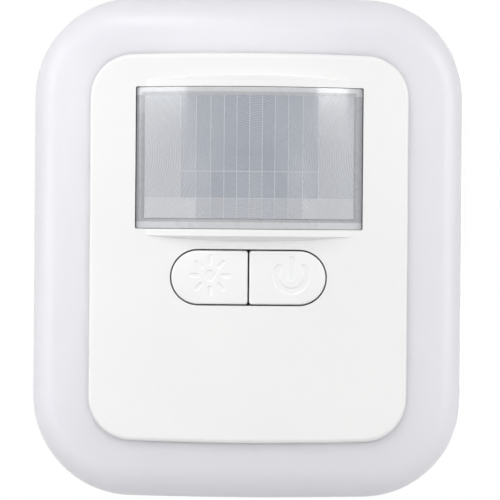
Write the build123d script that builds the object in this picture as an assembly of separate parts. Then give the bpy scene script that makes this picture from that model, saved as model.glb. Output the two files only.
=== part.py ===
from build123d import *
import os
from math import cos, hypot, radians, sin, sqrt, tan

# Plug-in night light with a motion sensor. Millimetres, +Z up. The origin is the middle of the plug
# on the wall face: the wall is the plane y = 0, the blades point along +Y and the front faces -Y.
# Depths are given as distances off the wall, positive towards the room.

# ---- body, seen from the front
body_width = 69.0
body_height = 79.8
body_corner = 16.1
body_bow = 0.35            # bulge of the top and bottom edges, from corner to corner
body_rise = 12.0           # middle of the body above the plug
rear_depth = 8.0           # rear cover, from the wall to the parting line
front_reach = 45.0         # beyond everything on the front

# ---- front plate and its crown about a vertical axis
band_sides = 9.45          # width of the ring left and right of the plate
band_ends = 9.4            # and above and below it
plate_corner = 6.8
plate_bow = 0.35
plate_front = 27.0         # middle of the plate off the wall
crown_radius = 100.0
skin = 2.0
rim = 1.0                  # thickness of the plate's rim, which lies on the ring
rim_rounding = 0.7
rim_overlap = 1.3          # how far the rim reaches over the edge of the ring's opening
skirt_wall = 1.2
skirt_gap = 0.15
skirt_notch = 0.3          # the skirt stops this far in front of the control board
hook_side = 11.0           # hooks from the middle, above and below
hook_width = 5.0
hook_height = 1.4
hook_reach = 0.8           # beyond the edge of the ring's opening
hook_gap = 0.1             # behind the ring's lip

# ---- diffuser ring
ring_wall = 2.0
ring_rounding = 5.0
ring_draft = 1.5
ring_gap = 0.05            # under the plate's rim
ring_lip = 2.2             # turned-in wall round the opening
ring_lip_wall = 1.2

# ---- lens window and the raised brow round it
window_height = 22.25
window_margin = 7.2        # from the plate's sides
window_top_margin = 5.3    # from the plate's top
window_corner = 0.25
brow_front = 29.3          # middle of the brow off the wall
brow_radius = 38.0         # about a vertical axis
brow_land = 1.05           # flat edge above and below the window
brow_slope = 0.85          # height of the sloped step from the land down to the plate

# ---- Fresnel lens
lens_gap = 0.06            # above and below, in the window
lens_side_gap = 0.14
lens_set_back = 0.1        # behind the brow
lens_wall = 1.2
lens_web = 1.0             # from the front of the border to the back of the zones
lens_border = 1.25         # at the sides and above
lens_low_border = 1.55
field_step = 0.35          # the zones lie this far behind the border
field_slope = 0.5          # width of the sloped wall round the zones
lens_flange = 1.5
lens_flange_thickness = 1.1
lens_flange_gap = 0.1
lens_rounding = 0.12
flange_corner = 1.5
middle_tier = 4.2
low_tier = 3.2
mid_zone = 2.35
narrow_zone = 2.0
narrow_count = 6
zone_rib = 0.16            # land between two zones
zone_aim = 0.5             # the rings' middles lie this share further out than their zones
ring_rise = 1.1            # the rings' middles above the middle of the window
groove_pitch = 1.5
groove_width = 0.7
groove_depth = 0.2
stake_radius = 0.8
stake_head_radius = 1.2
stake_head = 0.6
stake_fit = 0.05
stake_inset = 1.5          # stakes from the side edge of the flange's ears
stake_spacing = 13.0
ear_height = 4.0
ear_reach = 1.6

# ---- pill-shaped pair of buttons
pill_width = 24.6
pill_height = 8.85
pill_gap = 3.1             # below the window
button_gap = 0.25
button_proud = 0.3
button_rounding = 0.3
button_corner = 0.45       # at the ends of the split
button_skin = 1.3
button_wall = 1.1
button_flange = 0.8
button_flange_reach = 0.9
button_foot_radius = 1.6
button_travel = 0.4
collar_wall = 1.0
collar_depth = 3.2         # behind the plate's front
flange_gap = 0.15          # between a button's flange and the collar at rest
foot_gap = 0.05            # between a button's foot and its plunger

# ---- tact switches
switch_size = 6.0
switch_rounding = 0.4
switch_body = 3.4
switch_cavity_radius = 2.55
switch_plate = 0.3
switch_hole_gap = 0.1
plunger_radius = 1.75
plunger_flange_radius = 2.35
plunger_flange = 0.75
plunger_play = 0.08        # under the steel cover
plunger_height = 7.0       # top above the board
plunger_lift = 0.02        # over the dome
dome_radius = 2.3
dome_sheet = 0.1
dome_crush = 0.15          # height of the dome when it is pressed flat
clip_width = 1.8
clip_drop = 1.6
terminal_width = 0.7
terminal_sheet = 0.2
terminal_reach = 1.3
terminal_pitch = 4.5

# ---- boards
control_depth = 14.0       # back of the control board off the wall
control_board_thickness = 1.2
control_board_gap = 1.6    # to the ring's inside wall
power_depth = 4.0
power_board_thickness = 1.2
power_board_gap = 0.5      # to the screw wells
power_board_height = 50.0
power_board_rise = 11.5    # middle of the power board above the plug
board_corner = 1.5
hole_fit = 0.1             # clearance of leads, tails and screws in boards

# ---- screws through rear cover and control board into the front cover
screw_radius = 1.15
screw_length = 10.0
screw_head_radius = 2.1
screw_head = 1.5
screw_fit = 0.05
screw_seat = 3.0
screw_inset = 5.65         # from the plate's sides
screw_low_inset = 5.5      # from the plate's bottom
screw_gap = 0.9            # between the upper bosses and the lens flange
recess_width = 0.5
recess_length = 2.4
recess_depth = 0.7
well_radius = 3.4
well_gap = 0.3
boss_radius = 2.6
boss_depth = 7.5
support_radius = 2.2
support_inset = 9.0        # from the body's top

# ---- rear cover
rear_floor = 2.0
rear_wall = 1.8
rear_draft = 4.0
rear_rounding = 2.0
rear_inset = 0.4
rear_lip = 1.4
rear_lip_wall = 1.0
rear_lip_gap = 0.15

# ---- plug blades, flat two-pin plug
blade_spacing = 12.7
blade_width = 6.35
blade_thickness = 1.52
blade_length = 17.0
blade_tip = 1.6
blade_bevel = 0.4
blade_hole_radius = 1.59
blade_hole_reach = 11.9    # from the wall face
blade_fit = 0.05
shoulder_width = 9.4
tail_width = 2.4
tail_reach = 1.0           # past the power board

# ---- light-emitting diodes
led_length = 3.5
led_width = 2.8
led_height = 0.8
led_bowl_radius = 1.15
led_floor = 0.3
led_side_count = 4
led_side_pitch = 15.0
led_end_count = 2
led_end_pitch = 18.0
led_inset = 2.6            # from the edge of the board

# ---- infrared sensor
sensor_can_radius = 4.1
sensor_can_height = 4.2
sensor_can_sheet = 0.25
sensor_flange_radius = 4.6
sensor_flange = 0.6
sensor_stand = 1.0
sensor_window_width = 4.6
sensor_window_height = 3.6
sensor_window_sheet = 0.5
sensor_header = 1.2
sensor_lead_radius = 0.23
sensor_lead_circle = 2.54
sensor_lead_tail = 1.2

# ---- light sensor
eye_radius = 1.5
eye_height = 4.0
eye_base_radius = 1.9
eye_base = 1.0
eye_side = 8.5
eye_drop = 6.5

# ---- parts on the control board
chip_length = 9.9
chip_width = 3.9
chip_height = 1.5
chip_stand = 0.1
chip_bevel = 0.2
chip_drop = 17.0           # below the middle of the body
chip_leg_count = 8
chip_leg_pitch = 1.27
chip_leg_width = 0.42
chip_leg_reach = 1.0
chip_leg_sheet = 0.2
regulator_length = 2.9
regulator_width = 1.6
regulator_height = 1.1
regulator_side = 12.0
regulator_leg_pitch = 1.9
resistor_length = 2.0
resistor_width = 1.25
resistor_height = 0.5
resistor_count = 5
resistor_pitch = 3.2
resistor_drop = 22.0

# ---- parts on the power board, with their heights above the plug
lead_radius = 0.35
lead_tail = 0.8            # past the back of the board
part_stand = 0.4           # under a part's body
film_length = 18.0
film_width = 12.5
film_height = 7.2
film_rounding = 0.8
film_rise = 17.0
film_lead_pitch = 15.0
can_radius = 3.15
can_length = 11.0
can_side = -5.5
can_rise = 28.2
can_groove = 0.3
can_groove_inset = 1.6
can_lead_pitch = 2.5
fuse_radius = 1.5
fuse_cap_radius = 1.8
fuse_length = 8.5
fuse_cap = 1.9
fuse_rise = -9.6
fuse_lead_pitch = 11.5
disc_radius = 3.6
disc_thickness = 3.2
disc_rounding = 1.0
disc_side = -8.5
disc_rise = 7.0
disc_lead_pitch = 5.0
bridge_length = 4.7
bridge_width = 3.9
bridge_height = 2.5
bridge_inset = 6.5         # from the side of the power board
bridge_rise = 28.2
bridge_leg_pitch = 2.5
bridge_leg_width = 0.7
link_pitch = 2.54
link_count = 4
link_body = 2.5
link_pin = 0.64
link_rise = 34.4
link_tail = 0.9            # past both boards
board_screw_inset = 2.8    # from the sides of the power board
board_screw_end_inset = 2.9
board_screw_radius = 1.0
board_screw_length = 3.8
board_screw_head_radius = 1.9
board_screw_head = 1.2
standoff_radius = 2.2

# ---- values that follow from the ones above
control_face = control_depth + control_board_thickness
power_face = power_depth + power_board_thickness
screw_seat_depth = control_depth - screw_seat
plate_width = body_width - 2 * band_sides
plate_height = body_height - 2 * band_ends
window_width = plate_width - 2 * window_margin
window_middle = body_rise + plate_height / 2 - window_top_margin - window_height / 2
pill_middle = window_middle - window_height / 2 - pill_gap - pill_height / 2
button_side = pill_width / 4
plunger_top = control_face + plunger_height
collar_end = plate_front - collar_depth
flange_face = collar_end - flange_gap
lens_width = window_width - 2 * lens_side_gap
lens_height = window_height - 2 * lens_gap
flange_depth = skin + lens_flange_gap
dome_height = button_travel + dome_crush
plunger_foot = switch_body - plunger_play - plunger_flange
switch_cavity = switch_body - plunger_foot + plunger_lift + dome_height
screw_side = plate_width / 2 - screw_inset
screw_low = body_rise - plate_height / 2 + screw_low_inset
screw_high = window_middle - lens_height / 2 - lens_flange - screw_gap - boss_radius
screw_places = [(side * screw_side, height) for side in (-1, 1) for height in (screw_low, screw_high)]
power_board_width = 2 * (screw_side - well_radius - power_board_gap)
bridge_side = power_board_width / 2 - bridge_inset
board_screw_side = power_board_width / 2 - board_screw_inset
board_screw_low = power_board_rise - power_board_height / 2 + board_screw_end_inset
board_screw_high = power_board_rise + power_board_height / 2 - board_screw_end_inset
support_height = body_rise + body_height / 2 - support_inset
stake_places = [
    (side * (lens_width / 2 + lens_flange + ear_reach - stake_inset), up * stake_spacing / 2)
    for side in (-1, 1)
    for up in (-1, 1)
]


def bowed_outline(width, height, corner, bow):
    """Rounded rectangle about the middle of the body, with slightly bulging top and bottom edges."""
    side = width / 2
    top = height / 2
    shoulder = top - bow
    outline = Line((-side, -shoulder), (-side, shoulder))
    outline += ThreePointArc((-side, shoulder), (0, top), (side, shoulder))
    outline += Line((side, shoulder), (side, -shoulder))
    outline += ThreePointArc((side, -shoulder), (0, -top), (-side, -shoulder))
    face = make_face(outline)
    return Pos(0, body_rise) * fillet(face.vertices(), corner)


def body_outline(inset):
    """The body's outline, moved inwards."""
    return bowed_outline(body_width - 2 * inset, body_height - 2 * inset, body_corner - inset, body_bow)


def plate_outline(inset):
    """The front plate's outline, moved inwards."""
    return bowed_outline(plate_width - 2 * inset, plate_height - 2 * inset, plate_corner - inset, plate_bow)


def slab(outline, near, far):
    """A front-view outline made solid between two distances off the wall."""
    return extrude(Plane.XZ.offset(near) * outline, amount=far - near)


def drafted(inset, near, far, draft):
    """The body's outline made solid from near to far, narrowing by the draft angle on the way."""
    narrowed = inset + abs(far - near) * tan(radians(draft))
    ends = [Plane.XZ.offset(near) * body_outline(inset), Plane.XZ.offset(far) * body_outline(narrowed)]
    return loft([end.face() for end in ends], ruled=True)


def rod(x, z, radius, near, far):
    """A round pin square to the wall."""
    return slab(Pos(x, z) * Circle(radius), near, far)


def crown(sink):
    """All that lies behind the plate's crowned front, lowered by sink."""
    return Pos(0, crown_radius - plate_front, body_rise) * Cylinder(crown_radius - sink, 2 * body_height)


def brow_crown(sink):
    """All that lies behind the more strongly curved front of the brow, lowered by sink."""
    return Pos(0, brow_radius - brow_front, window_middle) * Cylinder(brow_radius - sink, body_height)


def front_face(solid):
    """The face nearest the room."""
    return solid.faces().sort_by(Axis.Y)[0]


def save(node, shape):
    """Write one node as a STEP file."""
    export_step(shape, os.path.join("parts", node + ".step"))


# ---- diffuser


def opening_outline(grow):
    """Edge of the ring's opening under the plate's rim."""
    return plate_outline(rim_overlap - grow)


def ring_form(inset):
    """The ring's rounded outer form, moved inwards."""
    form = drafted(inset, rear_depth, front_reach, ring_draft) & crown(rim + ring_gap + inset)
    return fillet(front_face(form).edges(), ring_rounding - inset)


def diffuser():
    """Translucent ring: a rounded shell with an opening that has a turned-in lip."""
    shell = ring_form(0) - ring_form(ring_wall)
    lip = slab(opening_outline(ring_lip_wall), control_face, front_reach)
    lip = (lip & crown(rim + ring_gap + ring_wall / 2)) - crown(rim + ring_gap + ring_wall + ring_lip)
    return shell + lip - slab(opening_outline(0), rear_depth, front_reach)


# ---- front cover


def plate_skin():
    """Crowned plate with a thin rim, and the skirt that goes into the ring's opening."""
    plate = slab(plate_outline(0), control_face, front_reach) & crown(0)
    plate = fillet(front_face(plate).edges(), rim_rounding)
    plate -= crown(rim)
    skirt_inset = rim_overlap + skirt_gap
    skirt_end = control_face + skirt_notch
    tub = slab(plate_outline(skirt_inset), skirt_end, front_reach) & crown(rim / 2)
    hollow = slab(plate_outline(skirt_inset + skirt_wall), control_depth, front_reach) & crown(skin)
    return plate + tub - hollow


def about_brow_axis(profile):
    """Solid of revolution about the brow's vertical axis, from points of radius and height."""
    face = Plane.XZ * make_face(Polyline(*profile, close=True))
    return Pos(0, brow_radius - brow_front, window_middle) * revolve(face, Axis.Z)


def brow():
    """Raised edge round the lens window, with a sloped step down to the plate above and below it."""
    land = window_height / 2 + brow_land
    foot = land + brow_slope
    low = brow_radius - (brow_front - plate_front)
    half_profile = [(0, foot), (low, foot), (brow_radius, land)]
    bulge = about_brow_axis(half_profile + [(radius, -height) for radius, height in reversed(half_profile)])
    reach = Rectangle(plate_width - 2 * rim_overlap, body_height)
    return bulge & slab(Pos(0, window_middle) * reach, plate_front / 2, front_reach) - crown(rim)


def pill(grow):
    """Outline of the pair of buttons, moved outwards."""
    return Pos(0, pill_middle) * SlotOverall(pill_width + 2 * grow, pill_height + 2 * grow)


def window_outline():
    """Outline of the lens window."""
    return Pos(0, window_middle) * RectangleRounded(window_width, window_height, window_corner)


def lens_stakes():
    """Pins that hold the lens by its ears, with their melted heads."""
    flange_back = lens_flange_thickness + flange_depth
    stakes = []
    for x, z in stake_places:
        place = (x, window_middle + z)
        pin = rod(*place, stake_radius, control_face, front_reach) & crown(skin / 2)
        pin -= crown(flange_back + stake_head / 2)
        head = rod(*place, stake_head_radius, control_face, front_reach) & crown(flange_back + stake_fit)
        head -= crown(flange_back + stake_head)
        stakes += [pin, head]
    return stakes


def screw_bosses():
    """Bosses for the cover screws, on the back of the plate."""
    bosses = []
    for x, z in screw_places:
        bosses.append(rod(x, z, boss_radius, control_face, front_reach) & crown(skin / 2))
    return bosses


def cover_hooks():
    """Hooks on the skirt that catch behind the ring's lip, above and below."""
    catch = rim + ring_gap + ring_wall + ring_lip + hook_gap
    edge = plate_height / 2 - rim_overlap - skirt_gap - skirt_wall / 2
    reach = skirt_wall / 2 + skirt_gap + hook_reach
    hooks = []
    for side in (-1, 1):
        for up in (-1, 1):
            place = Pos(side * hook_side, body_rise + up * (edge + reach / 2))
            block = slab(place * Rectangle(hook_width, reach), control_face, front_reach)
            hooks.append((block & crown(catch)) - crown(catch + hook_height))
    return hooks


def front_cover():
    """The white front plate with all that is moulded on it."""
    collar = (slab(pill(collar_wall), collar_end, front_reach) & crown(skin / 2)) - slab(
        pill(0), control_depth, front_reach
    )
    cover = plate_skin() + brow()
    cover -= slab(window_outline(), control_depth, front_reach)
    cover -= slab(pill(0), control_depth, front_reach)
    cover += [collar] + lens_stakes() + screw_bosses() + cover_hooks()
    for x, z in screw_places:
        cover -= rod(x, z, screw_radius + screw_fit, control_depth, control_face + boss_depth)
    return cover


# ---- lens


def zone_columns():
    """Widths of the columns of zones in the upper tiers, from side to side."""
    middle = [mid_zone] * 2 + [narrow_zone] * narrow_count + [mid_zone] * 2
    wing = (lens_width - 2 * lens_border - sum(middle)) / 2
    return [wing] + middle + [wing]


def lowest_columns():
    """The lowest tier: the outermost columns belong to the wings there."""
    columns = zone_columns()
    return [columns[0] + columns[1]] + columns[2:-2] + [columns[-2] + columns[-1]]


def row_of_zones(columns, bottom, height):
    """Middle and size of each zone in one tier."""
    left = -sum(columns) / 2
    zones = []
    for width in columns:
        zones.append((left + width / 2, bottom + height / 2, width, height))
        left += width
    return zones


def lens_zones():
    """Every zone of the lens: wings through two tiers, columns in each, and a lowest tier."""
    bottom = lens_low_border - lens_height / 2
    high_tier = lens_height / 2 - lens_border - bottom - middle_tier - low_tier
    upper = row_of_zones(zone_columns(), bottom + low_tier + middle_tier, high_tier)
    centre = row_of_zones(zone_columns(), bottom + low_tier, middle_tier)
    wings = row_of_zones(zone_columns(), bottom + low_tier, middle_tier + high_tier)
    lowest = row_of_zones(lowest_columns(), bottom, low_tier)
    return [wings[0], wings[-1]] + upper[1:-1] + centre[1:-1] + lowest


def zone_grooves(x, z, width, height):
    """Concentric grooves of one zone, about the middle that the zone aims from, cut off at its edges."""
    middle = Vector(x * (1 + zone_aim), ring_rise)
    reach = hypot(abs(middle.X - x) + width / 2, abs(middle.Y - z) + height / 2)
    rings = Sketch()
    radius = groove_pitch / 2
    while radius < reach:
        rings += Circle(radius + groove_width / 2) - Circle(radius - groove_width / 2)
        radius += groove_pitch
    zone = Pos(x, z) * Rectangle(width - zone_rib, height - zone_rib)
    return Pos(0, window_middle) * ((Pos(middle.X, middle.Y) * rings) & zone)


def lens_outline(inset):
    """Outline of the lens in its window, moved inwards."""
    corners = RectangleRounded(lens_width - 2 * inset, lens_height - 2 * inset, window_corner)
    return Pos(0, window_middle) * corners


def flange_outline():
    """The lens flange with its ears and their stake holes."""
    outline = Pos(0, window_middle) * RectangleRounded(
        lens_width + 2 * lens_flange, lens_height + 2 * lens_flange, flange_corner
    )
    for up in (-1, 1):
        ear = Rectangle(lens_width + 2 * (lens_flange + ear_reach), ear_height)
        outline += Pos(0, window_middle + up * stake_spacing / 2) * ear
    for x, z in stake_places:
        outline -= Pos(x, window_middle + z) * Circle(stake_radius + stake_fit)
    return outline


def lens_front(sink):
    """All that lies behind the front of the lens, lowered by sink."""
    return brow_crown(lens_set_back + sink)


def field_recess():
    """Room in front of the zones: it opens out over a sloped wall to the border."""
    front = brow_radius - lens_set_back
    floor = front - field_step
    clear = brow_radius + field_step
    side = lens_width / 2 - lens_border
    top = lens_height / 2 - lens_border
    bottom = lens_low_border - lens_height / 2
    above = top + field_slope
    below = bottom - field_slope
    band = about_brow_axis(
        [(floor, top), (front, above), (clear, above), (clear, below), (front, below), (floor, bottom)]
    )
    far_side = side + field_slope
    axis = brow_radius - brow_front
    floor_end = axis - sqrt(floor**2 - side**2)
    front_end = axis - sqrt(front**2 - far_side**2)
    half_plan = [(side, floor_end), (far_side, front_end), (far_side, -front_reach)]
    plan = make_face(Polyline(*half_plan, *[(-x, y) for x, y in reversed(half_plan)], close=True))
    return band & extrude(Plane.XY.offset(window_middle) * plan, amount=lens_height, both=True)


def pir_lens():
    """Fresnel lens: a curved tray of grooved zones, with a flange and ears behind the plate."""
    flange_back = crown(flange_depth + lens_flange_thickness)
    tray = slab(lens_outline(0), control_face, front_reach) & lens_front(0)
    tray = fillet(front_face(tray).edges(), lens_rounding) - flange_back
    flange = (slab(flange_outline(), control_face, front_reach) & crown(flange_depth)) - flange_back
    lens = tray + flange - field_recess()
    lens -= slab(lens_outline(lens_wall), control_depth, front_reach) & lens_front(lens_wall)
    lens -= slab(lens_outline(lens_border), control_depth, front_reach) & lens_front(lens_web)
    grooves = Sketch() + [zone_grooves(*zone) for zone in lens_zones()]
    return lens - (slab(grooves, control_depth, front_reach) & lens_front(lens_web - groove_depth))


# ---- buttons and their switches


def half(side):
    """Front view of the left (-1) or right (+1) side, short of the split between the buttons."""
    width = pill_width
    return Pos(side * (width + button_gap) / 2, pill_middle) * Rectangle(width, 2 * pill_height)


def button(side):
    """One half of the pill: a hollow cap with a retaining flange and a foot for the switch."""
    proud = crown(-button_proud)
    outline = pill(-button_gap) & half(side)
    outline = fillet(outline.vertices().sort_by(Axis.X, reverse=side < 0)[:2], button_corner)
    cap = slab(outline, flange_face - button_flange, front_reach) & proud
    cap = fillet(front_face(cap).edges(), button_rounding)
    inset = half(side) & (Pos(side * button_wall, 0) * half(side))
    hollow = slab(pill(-button_gap - button_wall) & inset, control_depth, front_reach)
    cap -= hollow & crown(button_skin - button_proud)
    flange = slab(pill(button_flange_reach) & half(side), flange_face - button_flange, flange_face)
    flange -= slab(pill(-button_gap - button_wall) & inset, control_depth, front_reach)
    foot = rod(side * button_side, pill_middle, button_foot_radius, plunger_top + foot_gap, front_reach)
    return cap + flange + (foot & crown(button_skin / 2))


def at_switch(side):
    """Place on the control board under a button."""
    return Plane.XZ.offset(control_face) * Pos(side * button_side, pill_middle)


def switch_base(side):
    """Square switch body with a round cavity."""
    place = at_switch(side)
    body = extrude(place * RectangleRounded(switch_size, switch_size, switch_rounding), amount=switch_body)
    floor = place * Pos(0, 0, switch_body - switch_cavity)
    return body - extrude(floor * Circle(switch_cavity_radius), amount=switch_cavity)


def switch_dome(side):
    """Snap dome on the floor of the cavity."""
    outer = (dome_radius**2 + dome_height**2) / (2 * dome_height)
    floor = control_face + switch_body - switch_cavity
    ball = Sphere(outer) - Sphere(outer - dome_sheet)
    place = Pos(side * button_side, outer - dome_height - floor, pill_middle)
    return (place * ball) & rod(side * button_side, pill_middle, 2 * dome_radius, floor, floor + 2 * dome_height)


def switch_plunger(side):
    """Round plunger with a flange under the steel cover."""
    foot = control_face + plunger_foot
    stem = rod(side * button_side, pill_middle, plunger_radius, foot, plunger_top)
    flange = rod(side * button_side, pill_middle, plunger_flange_radius, foot, foot + plunger_flange)
    return stem + flange


def switch_cover(side):
    """Steel cover plate with a clip down each side of the switch."""
    place = at_switch(side) * Pos(0, 0, switch_body)
    cover = extrude(place * RectangleRounded(switch_size, switch_size, switch_rounding), amount=switch_plate)
    cover -= extrude(place * Circle(plunger_radius + switch_hole_gap), amount=switch_plate)
    for up in (-1, 1):
        clip = Pos(0, up * (switch_size + switch_plate) / 2) * Rectangle(clip_width, switch_plate)
        cover += extrude(place * clip, amount=-clip_drop)
        cover += extrude(place * clip, amount=switch_plate)
    return cover


def switch_terminals():
    """Four bent terminals of each switch, soldered flat on the board."""
    terminals = []
    for side in (-1, 1):
        for out in (-1, 1):
            for up in (-1, 1):
                place = at_switch(side) * Pos(out * switch_size / 2, up * terminal_pitch / 2)
                upright = Pos(out * terminal_sheet / 2, 0) * Rectangle(terminal_sheet, terminal_width)
                foot = Pos(out * terminal_reach / 2, 0) * Rectangle(terminal_reach, terminal_width)
                bent = extrude(place * upright, amount=switch_body / 2) + extrude(place * foot, amount=terminal_sheet)
                terminals.append(bent)
    return Compound(children=terminals)


# ---- boards


def control_outline():
    """Outline of the control board, inside the ring's wall."""
    return body_outline(ring_wall + control_board_gap)


def sensor_leads_places():
    """The three leads of the infrared sensor, on their circle."""
    return [
        (sensor_lead_circle * cos(angle), window_middle + sensor_lead_circle * sin(angle))
        for angle in (radians(-45), radians(-135), radians(135))
    ]


def link_places():
    """The pins between the two boards."""
    first = -link_pitch * (link_count - 1) / 2
    return [(first + link_pitch * number, link_rise) for number in range(link_count)]


def control_board():
    """Front board, clamped between the screw wells and the bosses."""
    board = slab(control_outline(), control_depth, control_face)
    for x, z in screw_places:
        board -= rod(x, z, screw_radius + hole_fit, control_depth, control_face)
    for x, z in sensor_leads_places():
        board -= rod(x, z, sensor_lead_radius + hole_fit, control_depth, control_face)
    for x, z in link_places():
        board -= slab(Pos(x, z) * Rectangle(link_pin + hole_fit, link_pin + hole_fit), control_depth, control_face)
    return board


def board_screw_places():
    """Screws that hold the power board, at two opposite corners."""
    return [(-board_screw_side, board_screw_low), (board_screw_side, board_screw_high)]


def film_leads():
    """Leads of the film capacitor."""
    return [(side * film_lead_pitch / 2, film_rise) for side in (-1, 1)]


def can_leads():
    """Leads of the bulk capacitor, past its end."""
    x = can_side + can_length / 2 + part_stand + lead_radius
    return [(x, can_rise + up * can_lead_pitch / 2) for up in (-1, 1)]


def fuse_leads():
    """Leads of the fusible resistor, past its ends."""
    return [(side * fuse_lead_pitch / 2, fuse_rise) for side in (-1, 1)]


def disc_leads():
    """Leads of the varistor."""
    return [(disc_side + side * disc_lead_pitch / 2, disc_rise) for side in (-1, 1)]


def power_board():
    """Rear board with holes for leads and slots for the tails of the blades."""
    outline = Pos(0, power_board_rise) * RectangleRounded(power_board_width, power_board_height, board_corner)
    for side in (-1, 1):
        slot = Rectangle(blade_thickness + hole_fit, tail_width + hole_fit)
        outline -= Pos(side * blade_spacing / 2, 0) * slot
    for x, z in link_places():
        outline -= Pos(x, z) * Rectangle(link_pin + hole_fit, link_pin + hole_fit)
    for x, z in board_screw_places():
        outline -= Pos(x, z) * Circle(board_screw_radius + hole_fit)
    for x, z in film_leads() + can_leads() + fuse_leads() + disc_leads():
        outline -= Pos(x, z) * Circle(lead_radius + hole_fit)
    return slab(outline, power_depth, power_face)


# ---- light-emitting diodes


def led_places():
    """Middle and turn of each diode round the edge of the control board."""
    side = body_width / 2 - ring_wall - control_board_gap - led_inset
    end = body_height / 2 - ring_wall - control_board_gap - led_inset
    places = []
    for out in (-1, 1):
        for number in range(led_side_count):
            places.append((out * side, (number - (led_side_count - 1) / 2) * led_side_pitch, 90))
        for number in range(led_end_count):
            places.append(((number - (led_end_count - 1) / 2) * led_end_pitch, out * end, 0))
    return [Plane.XZ.offset(control_face) * Pos(x, body_rise + z) * Rot(0, 0, turn) for x, z, turn in places]


def led_packages():
    """White packages with a round bowl."""
    packages = []
    for place in led_places():
        package = extrude(place * Rectangle(led_length, led_width), amount=led_height)
        bowl = extrude(place * Pos(0, 0, led_floor) * Circle(led_bowl_radius), amount=led_height)
        packages.append(package - bowl)
    return Compound(children=packages)


def led_phosphors():
    """Phosphor that fills the bowls."""
    fills = [
        extrude(place * Pos(0, 0, led_floor) * Circle(led_bowl_radius), amount=led_height - led_floor)
        for place in led_places()
    ]
    return Compound(children=fills)


# ---- infrared sensor and light sensor


def sensor_base_depth():
    """Foot of the sensor's can off the wall."""
    return control_face + sensor_stand


def pir_sensor_can():
    """Round steel can with a foot flange and a window."""
    foot = sensor_base_depth()
    top = foot + sensor_can_height
    can = rod(0, window_middle, sensor_can_radius, foot, top)
    can += rod(0, window_middle, sensor_flange_radius, foot, foot + sensor_flange)
    can -= rod(0, window_middle, sensor_can_radius - sensor_can_sheet, foot, top - sensor_can_sheet)
    opening = Pos(0, window_middle) * Rectangle(sensor_window_width, sensor_window_height)
    return can - slab(opening, foot, top)


def pir_sensor_window():
    """Filter pane behind the can's window."""
    top = sensor_base_depth() + sensor_can_height - sensor_can_sheet
    pane = Rectangle(sensor_window_width + sensor_stand, sensor_window_height + sensor_stand)
    return slab(Pos(0, window_middle) * pane, top - sensor_window_sheet, top)


def pir_sensor_header():
    """Disc that closes the can, with holes for the leads."""
    foot = sensor_base_depth()
    header = rod(0, window_middle, sensor_can_radius - sensor_can_sheet, foot, foot + sensor_header)
    for x, z in sensor_leads_places():
        header -= rod(x, z, sensor_lead_radius, foot, foot + sensor_header)
    return header


def pir_sensor_leads():
    """Leads from the header through the control board."""
    leads = [
        rod(x, z, sensor_lead_radius, control_depth - sensor_lead_tail, sensor_base_depth() + sensor_header)
        for x, z in sensor_leads_places()
    ]
    return Compound(children=leads)


def light_sensor():
    """Round-nosed eye that sees daylight through the lens."""
    x = eye_side
    z = window_middle - eye_drop
    eye = rod(x, z, eye_base_radius, control_face, control_face + eye_base)
    eye += rod(x, z, eye_radius, control_face, control_face + eye_height)
    return eye + Pos(x, -control_face - eye_height, z) * Sphere(eye_radius)


# ---- small parts on the control board


def bent_legs(places, width, face, knee):
    """Flat legs bent down from a package's side: x and z of the side, and which way each leg points."""
    legs = []
    for x, z, up in places:
        foot = Pos(x, z + up * chip_leg_reach / 2) * Rectangle(width, chip_leg_reach)
        upright = Pos(x, z + up * chip_leg_sheet / 2) * Rectangle(width, chip_leg_sheet)
        legs += [slab(foot, face, face + chip_leg_sheet), slab(upright, face, knee)]
    return legs


def controller_chip():
    """Flat chip with a row of legs along each long side."""
    z = body_rise - chip_drop
    low = control_face + chip_stand
    chip = slab(Pos(0, z) * Rectangle(chip_length, chip_width), low, low + chip_height)
    chip = chamfer(front_face(chip).edges(), chip_bevel)
    first = -chip_leg_pitch * (chip_leg_count - 1) / 2
    places = [
        (first + number * chip_leg_pitch, z + up * chip_width / 2, up)
        for number in range(chip_leg_count)
        for up in (-1, 1)
    ]
    return chip + bent_legs(places, chip_leg_width, control_face, low + chip_height / 2)


def voltage_regulator():
    """Small three-legged package beside the chip."""
    x = regulator_side
    z = body_rise - chip_drop
    low = control_face + chip_stand
    body = slab(Pos(x, z) * Rectangle(regulator_length, regulator_width), low, low + regulator_height)
    half_width = regulator_width / 2
    places = [(x + side * regulator_leg_pitch / 2, z - half_width, -1) for side in (-1, 1)]
    places.append((x, z + half_width, 1))
    return body + bent_legs(places, chip_leg_width, control_face, low + regulator_height / 2)


def chip_resistors():
    """Row of small resistors below the chip."""
    first = -resistor_pitch * (resistor_count - 1) / 2
    z = body_rise - resistor_drop
    row = []
    for number in range(resistor_count):
        body = Pos(first + number * resistor_pitch, z) * Rectangle(resistor_width, resistor_length)
        row.append(slab(body, control_face, control_face + resistor_height))
    return Compound(children=row)


# ---- parts on the power board


def leads(places, far):
    """Straight leads through the power board, up to a distance off the wall."""
    return [rod(x, z, lead_radius, power_depth - lead_tail, far) for x, z in places]


def lying(x, z, radius, length, depth):
    """Round bar along X with its axis at a distance off the wall."""
    return Pos(x, -depth, z) * Rot(0, 90, 0) * Cylinder(radius, length)


def film_capacitor():
    """Boxed film capacitor that lies over its two leads."""
    low = power_face + part_stand
    outline = Pos(0, film_rise) * RectangleRounded(film_length, film_width, film_rounding)
    body = slab(outline, low, low + film_height)
    body = fillet(front_face(body).edges(), film_rounding / 2)
    return body + leads(film_leads(), low + film_rounding)


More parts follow.
